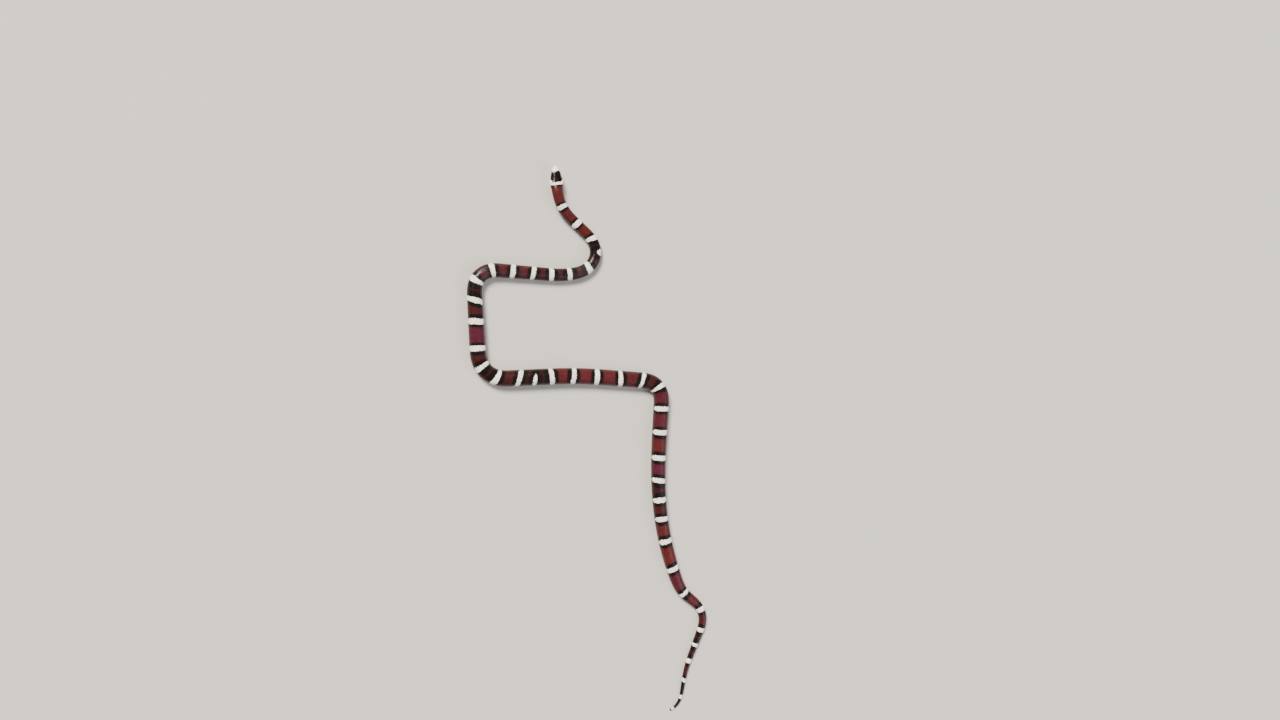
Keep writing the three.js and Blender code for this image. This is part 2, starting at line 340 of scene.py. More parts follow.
def on_snake(station, share, level):
    """A point of the coat. Level 0 is the tips of the scales and -1 the skin below them."""
    station = np.clip(station, END_GAP, TOTAL_LENGTH - END_GAP)
    turn = turn_at(station, share)
    along = place(station + NEAR, turn) - place(station - NEAR, turn)
    around = place(station, turn + NEAR_TURN) - place(station, turn - NEAR_TURN)
    out = np.cross(around, along)
    out = out / np.maximum(np.linalg.norm(out, axis=-1, keepdims=True), 1e-12)
    point = place(station, turn) + out * (level * coat_depth(station))[..., None]
    point[..., 2] = np.maximum(point[..., 2], 0)
    return point


# The mouth line, and shares counted from it: 0 at the crown, 1 at the lips, 2 under the chin
def lip_share_at(station):
    _, wide, rise, drop = sizes(station)
    height = between(MOUTH_LINE, 1, station)
    above = height > wide
    reach = np.where(above, rise, drop)
    part = np.clip(np.abs(height - wide) / np.maximum(reach, 1e-9), 0, 1)
    power = np.where(above, BACK_POWER, BELLY_POWER)
    angle = np.arccos(part ** (power / 2))
    angle = np.where(above, angle, math.pi - angle)
    row = np.interp(station, girth_at, np.arange(len(girth_at))).astype(int)
    return np.array([np.interp(a, turn_table[r], shares) for a, r in zip(angle, row)])


lip_stations = np.arange(0.1, HEAD_END, 0.1)
lip_shares = lip_share_at(lip_stations)


def share_of(station, round_):
    """The share of the half girth for a place counted from the mouth line; past 2 is the right."""
    round_ = (np.asarray(round_, float) + 2) % 4 - 2
    lip = np.interp(station, lip_stations, lip_shares)
    away = np.abs(round_)
    share = np.where(away <= 1, away * lip, lip + (away - 1) * (1 - lip))
    return share * np.where(round_ < 0, -1, 1)


# Markings, as distances in millimetres from the edges of the white and of the black
def markings(station, share):
    station = np.asarray(station, float)
    turn = turn_at(station, share)
    side = np.abs(share)
    lateral = np.sin(turn)
    centre, width, lean, red, cool, border = np.transpose(RINGS)
    lines = centre + lean * lateral[..., None]
    index = np.clip((lines <= station[..., None]).sum(-1) - 1, 0, len(RINGS) - 1)
    after = np.minimum(index + 1, len(RINGS) - 1)
    last_line = centre[index] + lean[index] * lateral
    next_line = centre[after] + lean[after] * lateral
    to_last = station - last_line - half_ring(width[index], centre[index], share)
    to_next = next_line - station - half_ring(width[after], centre[after], share)
    to_next = np.where(index == after, ALWAYS, to_next)
    white = np.maximum(-to_last, -to_next)
    spot = np.hypot((station - RIGHT_SPOT) / SPOT_LENGTH, (share - SPOT_SHARE) / SPOT_SPREAD)
    near_spot = np.abs(station - RIGHT_SPOT) < SPOT_ALONE
    white = np.where(near_spot, (1 - spot) * SPOT_LENGTH, white)
    spread = BORDER_ON_BACK
    for by, low, high in BORDER_SHIFTS:
        spread = spread + by * smooth(low, high, side)
    black = border[index] * spread - np.minimum(to_last, to_next)
    white = np.where(station < HEAD_END, head_white(station, share, white), white)
    # the red darkens down the flanks: partly pigment, partly painted shade of the flank turned from the
    # light
    red = red[index] * (1 - FLANK_PIGMENT_AND_SHADE * smooth(*FLANK_PIGMENT_AND_SHADE_SPAN, side))
    return white, black, red, cool[index]


def half_ring(width, centre, share):
    """Half the width of a ring at a share, narrower on the flanks and rounded at an end."""
    waist = 1 - RING_TAPER * smooth(*RING_TAPERS, np.abs(share))
    to_end = ring_reach(centre, share)
    rounded = np.sqrt(np.clip(to_end / RING_END, 0, 1))
    return width / 2 * waist * rounded - RING_GONE * (to_end < 0)


def ring_reach(centre, share):
    """How far inside its ends a ring is at a share; a whole ring has no ends."""
    short = (centre > SHORT_RINGS[0]) & (centre < SHORT_RINGS[1]) & (share > 0)
    reach = np.where(short, SHORT_RING_END - share, ALWAYS)
    return np.where(centre == LEFT_HALF_RING, share - HALF_RING_FROM, reach)


def head_white(station, share, white):
    """White lips, cheeks and throat below the black cap, besides the rings."""
    lip = np.interp(station, lip_stations, lip_shares)
    wave = CAP_WAVE * np.sin(station * CAP_WAVES)
    cap_edge = lip - CAP_ABOVE_LIP + wave - CAP_RISE * smooth(*CAP_RISES, station)
    below_cap = (np.abs(share) - cap_edge) * half_girth(station)
    return np.maximum(white, np.minimum(below_cap, CHEEK_END - station))


# Laying meshes on the snake
STRIPS = 4  # of the unwrapped skin
UNWRAP_MARGIN = 0.01
UNWRAP_FILL = 0.97


def smooth_faces(mesh):
    mesh.polygons.foreach_set("use_smooth", np.ones(len(mesh.polygons), bool))


def new_object(name, data):
    made = bpy.data.objects.new(name, data)
    bpy.context.scene.collection.objects.link(made)
    return made


def new_mesh(name, points, faces):
    mesh = bpy.data.meshes.new(name)
    mesh.from_pydata(points * MM, [], faces)
    smooth_faces(mesh)
    return new_object(name, mesh)


def turn_outwards(mesh, join_within=None):
    """Turns the faces outwards, after joining points that lie within a distance of each other."""
    shape = bmesh.new()
    shape.from_mesh(mesh)
    if join_within:
        bmesh.ops.remove_doubles(shape, verts=shape.verts, dist=join_within)
    bmesh.ops.recalc_face_normals(shape, faces=shape.faces)
    shape.to_mesh(mesh)
    shape.free()


def add_attribute(mesh, name, values):
    attribute = mesh.attributes.new(name, "FLOAT", "POINT")
    attribute.data.foreach_set("value", np.asarray(values, np.float32).ravel())


# rim carries painted shade: at the edges of scales, scutes and shields, on the skin between them, and
# in the nostril
MARKS = ("white_by", "black_by", "red", "cool", "tint", "rim")


def mark(mesh, station, share, tint, rim):
    for name, values in zip(MARKS, (*markings(station, share), tint, rim)):
        add_attribute(mesh, name, values)


def unwrap_of(station, share, home):
    """The place of a point on the unwrap of the skin, in the strip that its home station is in."""
    strip_length = TOTAL_LENGTH / STRIPS
    strip = np.clip((home / strip_length).astype(int), 0, STRIPS - 1)
    across = share * half_girth(station) / strip_length
    u = UNWRAP_MARGIN + UNWRAP_FILL * (station / strip_length - strip)
    v = (strip + 0.5) / STRIPS + UNWRAP_FILL * across
    return np.stack([u, v], -1)


def columns_of(mesh):
    """The x, y and z of its vertices."""
    return np.array([v.co for v in mesh.vertices]).T


def corners_of(mesh):
    """The vertex of each corner of each face."""
    corner = np.empty(len(mesh.loops), np.int32)
    mesh.loops.foreach_get("vertex_index", corner)
    return corner


def set_unwrap(mesh, places):
    """Sets the unwrap from a place for each vertex, or for each corner of each face."""
    if len(places) == len(mesh.vertices):
        places = places[corners_of(mesh)]
    layer = mesh.uv_layers.new(name="OFBake")
    layer.data.foreach_set("uv", places.astype(np.float32).ravel())


def deselect():
    bpy.ops.object.select_all(action="DESELECT")


# The skin
SNOUT_ROWS = 15
HEAD_STEP = 0.2
SKIN_STEP = 0.9
TIP_ROWS = 8
BACK_COLUMNS = 16
LIP_COLUMNS = [0.99, 1, 1.015]  # counted round, in the mouth line
LIP_EDGES = (0.97, 1.05)  # and the next ones above and below
CHIN_COLUMNS = 8
GROOVE = 1.6  # depth between the lips, in coat depths
GROOVE_FADE = 0.6  # it runs out this far about the corner of the mouth
NOSTRIL_PIT = 4.5  # depth of the pits behind the nostrils, and their spread
PIT_SPREAD = 1.7
WELD = 0.002


def skin_stations():
    snout = SNOUT_ROUND * np.linspace(0, 1, SNOUT_ROWS)[:-1] ** 2
    head = np.arange(SNOUT_ROUND, HEAD_END, HEAD_STEP)
    body = np.arange(HEAD_END, TOTAL_LENGTH - TIP_ROUND, SKIN_STEP)
    tip = TOTAL_LENGTH - TIP_ROUND * np.linspace(1, 0, TIP_ROWS) ** 2
    return np.concatenate([snout, head, body, tip])


def skin_rounds():
    back = np.linspace(0, LIP_EDGES[0], BACK_COLUMNS)
    chin = np.linspace(LIP_EDGES[1], 2, CHIN_COLUMNS)
    half = np.concatenate([back, LIP_COLUMNS, chin])
    return np.concatenate([-half[:0:-1], half])


def make_skin():
    stations = skin_stations()
    rounds = skin_rounds()
    deselect()
    along, around = len(stations) - 1, len(rounds) - 1
    bpy.ops.mesh.primitive_grid_add(
        x_subdivisions=along, y_subdivisions=around, size=2, calc_uvs=False
    )
    skin = bpy.context.object
    skin.name = "skin"
    mesh = skin.data
    x, y, _ = columns_of(mesh)
    row = np.rint((x + 1) / 2 * along).astype(int)
    column = np.rint((y + 1) / 2 * around).astype(int)
    station = stations[row]
    round_ = rounds[column]
    share = share_of(station, round_)
    # the first and last columns meet under the belly, from the right and from the left
    share = np.where(column == 0, -np.abs(share), share)
    share = np.where(column == around, np.abs(share), share)
    in_mouth = np.isclose(np.abs(round_), 1) & (station > MOUTH_START)
    shut = 1 - smooth(MOUTH_CORNER - GROOVE_FADE, MOUTH_CORNER + GROOVE_FADE, station)
    level = -1 - np.where(in_mouth, GROOVE * shut, 0)
    ahead = (station - NOSTRIL_PLACE[0]) / NOSTRIL_SPREAD[0]
    below = (np.abs(round_) - NOSTRIL_PLACE[1]) / NOSTRIL_SPREAD[1]
    level = level - NOSTRIL_PIT * np.exp(-(ahead**2 + below**2) / PIT_SPREAD)
    points = on_snake(station, share, level)
    for pole in (0, along):
        points[row == pole] = points[row == pole].mean(axis=0)
    mesh.vertices.foreach_set("co", (points * MM).ravel())
    # the skin between the scales takes the full rim darkening: partly its own darker colour, partly
    # painted shade under the scales
    mark(mesh, station, share, np.full(len(station), 0.5), np.ones(len(station)))
    # on the unwrap, each face goes whole into the strip of its foremost corner
    corner = corners_of(mesh)
    first = station[corner].reshape(-1, 4).min(axis=1)
    set_unwrap(mesh, unwrap_of(station[corner], share[corner], np.repeat(first, 4)))
    turn_outwards(mesh, WELD * MM)
    smooth_faces(mesh)
    return skin


# Scales, whose heights are levels of the coat
SUNK = -1.3  # the hidden undersides of scales and scutes
SCALE_ROOT = -1.0
SCALE_TIP = -0.07
SCALE_DOME = 0.22
SCALE_BEVEL = 0.28
SCALE_RIM = 0.09  # width of the rim and of the ring inside it, for a radius of 1
SCALE_RING = 0.31
LOZENGE = 1.4  # power of the outline: 1 is a rhomb and 2 an oval
OVERLAP_ALONG = 0.62  # half length of a scale for one cross row
OVERLAP_ROUND = 1.14  # its width for one row of scales
OWN_COLOUR = 0.3  # how much a scale is of one colour
SCATTER = 0.3  # and from how far along that colour may come
PATCH = 0.003  # size of a scale on the unwrap
PATCH_BEFORE = 0.8  # and where it lies, in half lengths ahead
COUNT_STEP = 0.25  # between the stations where the cross rows are counted
TAIL_CAP = 3  # end of the tail without scales
ON_SHIELDS = 0.12  # how far the first scales lie on the shields, in cross rows
SHIELD_ENDS = [
    # share, and the station where the head shields end at it
    (0, 9.75), (0.1, 9.65), (0.28, 9.1), (0.33, 9.3), (0.45, 9.45), (0.58, 9.8), (0.66, 9.9),
    (0.72, 9.4), (0.745, 6.5), (0.76, 4.5), (0.8, 4.9), (0.84, 5.9), (0.9, 6.4), (1, 6.6),
]
THROAT_ROWS = 5  # on each side of the middle
THROAT_START = 3.5
THROAT_PITCH = 1.25
THROAT_STAGGER = 0.62  # how much later every other row starts
THROAT_GAP = 0.2  # behind the chin shields
THROAT_END = 12.8  # in the middle, and how much later at the sides
THROAT_END_LATER = 2.3
THROAT_SCALE = 0.8  # half length
THROAT_OVERLAP = 1.1  # half width for one row
PAIR_STAGGER = 0.25  # left tail scutes are so much further back, in cross rows
PAIR_MIDDLE = 0.52  # their middle and half width, as shares of the strip
PAIR_HALF = 0.62


def start_flat_piece():
    """Thickens the flat shape that was just added to a height of 1, and keeps it in edit mode."""
    bpy.ops.object.mode_set(mode="EDIT")
    bpy.ops.mesh.select_all(action="SELECT")
    bpy.ops.mesh.extrude_region_move(TRANSFORM_OT_translate={"value": (0, 0, 1)})


def take_flat_piece():
    """The x, y and z of its points, and its faces; the piece itself is removed."""
    bpy.ops.object.mode_set(mode="OBJECT")
    piece = bpy.context.object
    columns = columns_of(piece.data)
    faces = [tuple(f.vertices) for f in piece.data.polygons]
    bpy.data.objects.remove(piece)
    return *columns, faces


def flat_scale():
    """One scale, modelled flat: a low lozenge with a rounded rim, rings from 1 at the rim to 0."""
    deselect()
    bpy.ops.mesh.primitive_circle_add(vertices=SCALE_SIDES, radius=1, fill_type="NGON")
    start_flat_piece()
    bpy.ops.mesh.inset(thickness=SCALE_RIM)
    bpy.ops.mesh.inset(thickness=SCALE_RING)
    bpy.ops.mesh.poke()
    x, y, up, faces = take_flat_piece()
    ring = np.hypot(x, y)
    angle = np.arctan2(y, x)
    along, across = (
        ring * np.sign(part) * np.abs(part) ** (2 / LOZENGE) for part in (np.cos(angle), np.sin(angle))
    )
    # station and share count the other way round than x and y, so the faces are turned over
    return along, across, ring, up < 0.5, [face[::-1] for face in faces]


def lay_copies(name, at, where, level, faces, marked_at, tint, rim):
    """Copies of a flat piece on the snake, each with its row of stations and shares."""
    count, corners = at.shape
    points = on_snake(at, where, np.broadcast_to(level, at.shape))
    copies = [tuple(v + k * corners for v in face) for k in range(count) for face in faces]
    piece = new_mesh(name, points.reshape(-1, 3), copies)
    tint = np.repeat(tint, corners)
    mark(piece.data, marked_at.ravel(), where.ravel(), tint, np.tile(rim, count))
    return piece


def lay_scales(name, station, share, long, wide):
    """Copies of the flat scale on the snake, each with its half length and half width of girth."""
    along, across, ring, sunk, faces = flat_scale()
    count = len(station)
    at = station[:, None] + along * long[:, None]
    where = share[:, None] + across * wide[:, None]
    # past the middle of the belly the share goes on from the other side
    where = np.where(np.abs(where) > 1, where - 2 * np.sign(where), where)
    slope = SCALE_ROOT + (SCALE_TIP - SCALE_ROOT) * (along + 1) / 2
    dome = SCALE_DOME * (1 - ring**2)
    bevel = SCALE_BEVEL * (ring > 1 - SCALE_RIM / 2)
    level = np.where(sunk, SUNK, np.minimum(slope + dome - bevel, 0))
    own = (station + rng.normal(0, SCATTER, count))[:, None]
    mixed = (1 - OWN_COLOUR) * at + OWN_COLOUR * own
    # painted shade, darker towards the scale's edge and full on its hidden underside
    rim = np.where(sunk, 1, ring**3)
    piece = lay_copies(name, at, where, level, faces, mixed, rng.uniform(0, 1, count), rim)
    root = unwrap_of(station - PATCH_BEFORE * long, np.clip(share, -1, 1), station)
    patches = root[:, None] + np.stack([along, across], -1) * PATCH / 2
    set_unwrap(piece.data, patches.reshape(-1, 2))
    return piece


count_at = np.arange(0, TOTAL_LENGTH + 0.1, COUNT_STEP)
one_row = between(PITCH, 1, count_at[:-1] + COUNT_STEP / 2)
cross_rows = np.concatenate([[0], np.cumsum(COUNT_STEP / one_row)])
vent_row = np.interp(VENT + 1, count_at, cross_rows)
last_row = np.interp(TOTAL_LENGTH - TAIL_CAP, count_at, cross_rows)


def row_weight(row, station):
    weight, first, last = ROWS[row]
    begun = smooth(first - ROW_FADE, first + ROW_FADE, station)
    return weight * begun * (1 - smooth(last - ROW_FADE, last + ROW_FADE, station))


def row_places(station):
    """Middle and weight of each row of scales at the stations, as shares of the half girth."""
    weights = np.array([row_weight(row, station) for row in range(len(ROWS))])
    ends = np.cumsum(weights, axis=0) - weights[0] / 2
    middles = (ends - weights / 2) * VENTRAL_EDGE / ends[-1]
    return middles, weights * VENTRAL_EDGE / ends[-1]


def row_phase(row, station):
    """Where a row ends, the rows inside it shift by half a scale, which keeps the lattice."""
    phase = 0
    for _, first, last in ROWS[row + 1 :]:
        phase = phase - 0.5 * (1 - smooth(first - ROW_SHIFT, first + ROW_SHIFT, station))
        phase = phase + 0.5 * smooth(last - ROW_SHIFT, last + ROW_SHIFT, station)
    return phase


def table_of(station, share, long, wide):
    """A line for each scale: station, share, half length in millimetres, half width as a share."""
    return np.stack(np.broadcast_arrays(station, share, long, wide), -1)


def dorsal_scales():
    """The table of all scales above the belly scutes."""
    middles, weights = row_places(count_at)
    found = []
    for row in range(len(ROWS)):
        counted = cross_rows + row_phase(row, count_at)
        first, last = math.ceil(counted[0]), math.floor(counted[-1])
        station = np.interp(np.arange(first, last) + 0.5 * (row % 2), counted, count_at)
        outwards = min(row + 1, len(ROWS) - 1)
        lines = middles[row], weights[row], weights[abs(row - 1)], weights[outwards]
        middle, own, inner, outer = (np.interp(station, count_at, line) for line in lines)
        half = (inner / 2 + own + outer / 2) / 2 * OVERLAP_ROUND
        pitch = between(PITCH, 1, station)
        weight = np.interp(station, count_at, row_weight(row, count_at))
        keep = (weight > ROW_LEAST) & (station > shield_end(middle) - ON_SHIELDS * pitch)
        keep &= station < TOTAL_LENGTH - TAIL_CAP
        for side in (1, -1) if row else (1,):
            found.append(table_of(station, middle * side, pitch * OVERLAP_ALONG, half)[keep])
    return np.concatenate(found)


def shield_end(share):
    """The station where the head shields end at a share."""
    return np.interp(np.abs(share), *np.transpose(SHIELD_ENDS))


def throat_scales():
    """The table of the small scales under the jaws, up to the first belly scute."""
    found = []
    spacing = (1 - VENTRAL_EDGE) / THROAT_ROWS
    for row in range(THROAT_ROWS + 1):
        share = 1 - row * spacing
        end = THROAT_END + THROAT_END_LATER * row / THROAT_ROWS
        station = np.arange(THROAT_START, end, THROAT_PITCH) + THROAT_STAGGER * (row % 2)
        station = station[(station > shield_end(share) + THROAT_GAP) & (station < end)]
        for side in (1, -1) if row else (1,):
            found.append(table_of(station, share * side, THROAT_SCALE, spacing * THROAT_OVERLAP))
    return np.concatenate(found)


def tail_scutes():
    """The table of the paired scutes under the tail."""
    number = np.arange(math.ceil(vent_row), last_row)
    belly = 1 - VENTRAL_EDGE
    found = []
    for side in (1, -1):
        station = np.interp(number + PAIR_STAGGER * side, cross_rows, count_at)
        long = between(PITCH, 1, station) * OVERLAP_ALONG
        found.append(table_of(station, (1 - belly * PAIR_MIDDLE) * side, long, belly * PAIR_HALF))
    return np.concatenate(found)


# Belly scutes
FIRST_SCUTE = 12.6
SCUTE_BOW = 0.25  # swell of its rear edge, in half lengths
SCUTE_FORWARD = 0.1  # and its move forwards
SCUTES_GROW = (11.4, 15.6)  # the first ones grow to full width between these stations
SCUTE_FIRST = 0.55  # from this share of it
SCUTE_OVERLAP = 1.03
SCUTE_ROOT = -0.98
SCUTE_RISE = 0.86  # from the root to the rear edge
SCUTE_ENDS = 0.35  # how much lower the two ends are
SCUTE_REAR = 0.12  # and the very rear edge
SCUTE_PATCH = 0.7  # its length on the unwrap


def lay_scutes(name):
    """Copies of the belly scute from the throat to the vent, the last of them the anal plate."""
    deselect()
    bpy.ops.mesh.primitive_grid_add(x_subdivisions=4, y_subdivisions=16, size=2)
    start_flat_piece()
    along, across, up, faces = take_flat_piece()
    number = np.arange(math.ceil(np.interp(FIRST_SCUTE, count_at, cross_rows)), vent_row)
    station = np.interp(number + 0.5, cross_rows, count_at)
    half = between(PITCH, 1, station) * OVERLAP_ALONG
    bow = SCUTE_BOW * (1 - across**2)
    at = station[:, None] + (along + bow * (along + 1) / 2 - SCUTE_FORWARD) * half[:, None]
    grown = SCUTE_FIRST + (1 - SCUTE_FIRST) * smooth(*SCUTES_GROW, station)
    reach = (1 - VENTRAL_EDGE) * grown * SCUTE_OVERLAP
    where = 1 - np.abs(across) * reach[:, None]
    where = np.where(across < 0, -where, where)
    slope = SCUTE_ROOT + SCUTE_RISE * (along + 1) / 2
    lower = SCUTE_ENDS * np.abs(across) ** 6 + SCUTE_REAR * (along > 0.9)
    level = np.where(up < 0.5, SUNK, slope - lower)
    # painted shade, darker towards the scute's edges and full on its hidden underside
    rim = np.where(up < 0.5, 1, np.maximum(np.abs(along), np.abs(across)) ** 6)
    tint = rng.uniform(0.2, 0.8, len(station))
    piece = lay_copies(name, at, where, level, faces, at, tint, rim)
    apart = (station[:, None] + along * half[:, None] * SCUTE_PATCH).ravel()
    from_keel = (across * reach[:, None]).ravel()
    set_unwrap(piece.data, unwrap_of(apart, from_keel, np.repeat(station, len(along))))
    return piece


# Head shields. Each outline is given by (station, place counted from the mouth line).
EYE_PLACE = (4.52, 0.69)
EYE_SPREAD = (0.7, 0.152)
NOSTRIL_PLACE = (1.38, 0.73)
NOSTRIL_SPREAD = (0.23, 0.062)
NOSTRIL_UNDER = -4.0  # level of its shield's underside, below its floor
NOSTRIL_PAINTED_SHADE = 2.5  # painted shade, black deep in the nostril, below this level
NOSTRIL_LIT = -1.4
NASAL_EDGE = 0.14  # width of the nasal shield's edge


def eye_rim(*degrees):
    """Points round the eye: 0 behind it, 90 below, 180 before and 270 above."""
    turns = np.radians(degrees)
    points = np.stack([np.cos(turns), np.sin(turns)], -1) * EYE_SPREAD + EYE_PLACE
    return points.tolist()


UPPER_LIP_TOPS = [
    [(0.98, 0.8), (1.75, 0.82)],
    [(1.75, 0.82), (2.6, 0.82)],
    [(2.6, 0.82), (3.75, 0.82), *eye_rim(150, 120)],
    [*eye_rim(120, 90, 60, 40), (5.75, 0.84)],
    [(5.75, 0.84), (6.3, 0.83), (7.1, 0.82)],
    [(7.1, 0.82), (8.3, 0.83)],
    [(8.3, 0.83), (9.5, 0.86)],
]
UPPER_LIP_SEAMS = [0.95, 1.75, 2.7, 4.15, 5.7, 7.2, 8.6, 9.95]
LOWER_LIP_SEAMS = [
    # station at the mouth, then the place of the lower end, from behind the first shield on
    (1.75, 1.9, 1.5), (2.7, 2.75, 1.42), (3.7, 3.75, 1.38), (4.8, 4.8, 1.36), (6.1, 6.1, 1.36),
    (7.3, 7.2, 1.32), (8.5, 8.4, 1.28), (9.8, 9.6, 1.22),
]
SIDE_SHIELDS = {
    "internasal": [(0.8, 0), (0.86, 0.35), (0.9, 0.56), (1.75, 0.58), (1.85, 0)],
    "prefrontal": [
        (1.85, 0), (1.75, 0.58), (2.2, 0.61), (3.1, 0.56), (3.45, 0.47), (3.35, 0.27), (3.45, 0),
    ],
    "supraocular": [
        (3.35, 0.27), (3.45, 0.47), *eye_rim(215, 235, 255, 285, 305, 325), (5.9, 0.46), (5.55, 0.235),
    ],
    "parietal": [
        (6.35, 0), (5.55, 0.235), (5.9, 0.46), (6.35, 0.5), (7.9, 0.49), (8.9, 0.42), (9.6, 0.18),
        (9.75, 0),
    ],
    "loreal": [(2.2, 0.61), (3.1, 0.56), (3.1, 0.82), (2.2, 0.82)],
    "preocular": [(3.1, 0.56), (3.45, 0.47), *eye_rim(215, 195, 175, 150), (3.75, 0.82), (3.1, 0.82)],
    "upper postocular": [*eye_rim(325, 345, 0), (6.35, 0.66), (6.35, 0.5), (5.9, 0.46)],
    "lower postocular": [*eye_rim(0, 20, 40), (5.75, 0.84), (6.3, 0.83), (6.35, 0.66)],
    "upper front temporal": [(6.35, 0.5), (7.9, 0.49), (7.85, 0.66), (6.35, 0.66)],
    "lower front temporal": [(6.35, 0.66), (7.85, 0.66), (7.8, 0.825), (7.1, 0.82), (6.3, 0.83)],
    "upper rear temporal": [(7.9, 0.49), (8.9, 0.42), (9.4, 0.5), (9.3, 0.6), (7.87, 0.58)],
    "middle rear temporal": [(7.87, 0.58), (9.3, 0.6), (9.35, 0.73), (7.85, 0.7)],
    "lower rear temporal": [(7.85, 0.7), (9.35, 0.73), (9.5, 0.86), (8.3, 0.83), (7.8, 0.825)],
    **{
        f"{number} upper lip shield": [*top, (rear, 1), (front, 1)]
        for number, top, front, rear in zip(
            range(1, 8), UPPER_LIP_TOPS, UPPER_LIP_SEAMS, UPPER_LIP_SEAMS[1:]
        )
    },
    "1 lower lip shield": [(0.95, 1), (1.75, 1), (1.9, 1.5), (1.8, 2), (1.4, 2)],
    **{
        f"{number} lower lip shield": [(front[0], 1), (rear[0], 1), rear[1:], front[1:]]
        for number, front, rear in zip(range(2, 9), LOWER_LIP_SEAMS, LOWER_LIP_SEAMS[1:])
    },
    "front chin shield": [(1.8, 2), (1.9, 1.5), (2.75, 1.42), (3.75, 1.38), (4.3, 1.5), (4.4, 2)],
    "rear chin shield": [(4.4, 2), (4.3, 1.5), (6.2, 1.6), (6.7, 1.8), (6.75, 2)],
}
NASAL = [(0.9, 0.56), (1.75, 0.58), (2.2, 0.61), (2.2, 0.82), (1.75, 0.82), (0.98, 0.8)]
MIDDLE_SHIELDS = {
    "frontal": [(3.45, 0), (3.35, 0.27), (5.55, 0.235), (6.35, 0), (5.55, -0.235), (3.35, -0.27)],
    "mental": [(0.42, 1), (0.95, 1), (1.4, 2), (0.95, 3), (0.42, 3)],
}
SHIELD_GAP = 0.05
SHIELD_POINT = 0.14  # distance between points of an outline
SHIELD_EDGE = [(0, -1.25), (0.03, -0.42), (0.09, -0.14), (0.17, -0.02)]  # distance inwards, level
SHIELD_TOP = np.linspace(0.86, 0.05, 7)
NOSTRIL_RINGS = [(1.3, 0.0), (1, -0.3), (0.85, -1.5), (0.5, -2.6), (0.05, -2.9)]  # size, level
ROSTRAL_LIPS = np.array([0.88, 0.95, 0.985, 1])  # its last points before the mouth
ROSTRAL_PARTS = [0.0006, 0.006, 0.02, 0.06, 0.13, 0.23, 0.35, 0.45, 0.6, 0.75, 0.87, 0.94, 0.975, 1]
ROSTRAL_TOP = 0.78  # station of its rear edge on top, and how much later it is at the lips
ROSTRAL_LIP = 0.17
ROSTRAL_LENGTH = 0.9  # its length and its half width
ROSTRAL_WIDTH = 3
ROSTRAL_BEVEL = 0.1
ROSTRAL_INSIDE = (0.9, -8)  # station and level of the point to which it closes
WIDEST_HEAD = 9


def flat_size(corners):
    """Millimetres across for one unit counted round, at the middle of a shield."""
    station = np.mean([c[0] for c in corners])
    lip = np.interp(station, lip_stations, lip_shares)
    upper = np.mean([abs(c[1]) for c in corners]) < 1
    return half_girth(station) * (lip if upper else 1 - lip)


def drawn_in(points, by):
    """The closed outline moved inwards."""
    ahead = np.roll(points, -1, axis=0) - np.roll(points, 1, axis=0)
    ahead = ahead / np.linalg.norm(ahead, axis=1, keepdims=True)
    x, y = points.T
    area = np.sum(x * np.roll(y, -1) - y * np.roll(x, -1))
    inwards = np.stack([-ahead[:, 1], ahead[:, 0]], -1) * np.sign(area)
    return points + inwards * by


def rounded_outline(corners, size):
    """Points along a shield's edges, with its corners rounded."""
    flat = np.array(corners, float) * (1, size)
    points = []
    for a, b in zip(flat, np.roll(flat, -1, axis=0)):
        parts = max(1, round(np.linalg.norm(b - a) / SHIELD_POINT))
        points.extend(a + (b - a) * k / parts for k in range(parts))
    points = np.array(points)
    for _ in range(2):
        points = (np.roll(points, 1, axis=0) + 2 * points + np.roll(points, -1, axis=0)) / 4
    return drawn_in(points, SHIELD_GAP / 2)


def middle_of(points):
    """A point well inside a closed outline: the centre of its area, moved off its nearest side."""
    x, y = points.T
    cross = x * np.roll(y, -1) - y * np.roll(x, -1)
    ahead = points + np.roll(points, -1, axis=0)
    middle = (ahead * cross[:, None]).sum(axis=0) / (3 * cross.sum())
    for _ in range(20):
        away = middle - points
        far = np.linalg.norm(away, axis=1)
        nearest = far.argmin()
        middle = middle + 0.01 * away[nearest] / far[nearest]
    return middle


def towards(middle, points, by):
    """The points moved to the middle by a distance, or by part of the way from near it."""
    way = middle - points
    far = np.linalg.norm(way, axis=1, keepdims=True)
    return points + way / far * np.minimum(by, 0.35 * far)


def shield_rings(corners):
    """Rings of a shield from its sunk edge to its middle, each with its level."""
    size = flat_size(corners)
    edge = rounded_outline(corners, size)
    middle = middle_of(edge)
    rings = [(towards(middle, edge, by), level) for by, level in SHIELD_EDGE]
    top = rings[-1][0]
    rings += [(middle + (top - middle) * part, 0.0) for part in SHIELD_TOP]
    return rings, size


def nasal_rings(size):
    """The nasal shield, whose rings run in to the rim and floor of the nostril."""
    edge = rounded_outline(NASAL, size)
    hole = np.array(NOSTRIL_PLACE) * (1, size)
    x, y = (edge - hole).T
    turn = np.arctan2(y, x)
    rim = np.stack([np.cos(turn), np.sin(turn)], -1) * (NOSTRIL_SPREAD[0], NOSTRIL_SPREAD[1] * size)
    rings = [(edge, NOSTRIL_UNDER)]
    rings += [(towards(hole, edge, by), level) for by, level in SHIELD_EDGE[1:3]]
    rings += [((towards(hole, edge, NASAL_EDGE) + hole + rim) / 2, 0.0)]
    rings += [(hole + rim * part, level) for part, level in NOSTRIL_RINGS]
    return rings, size


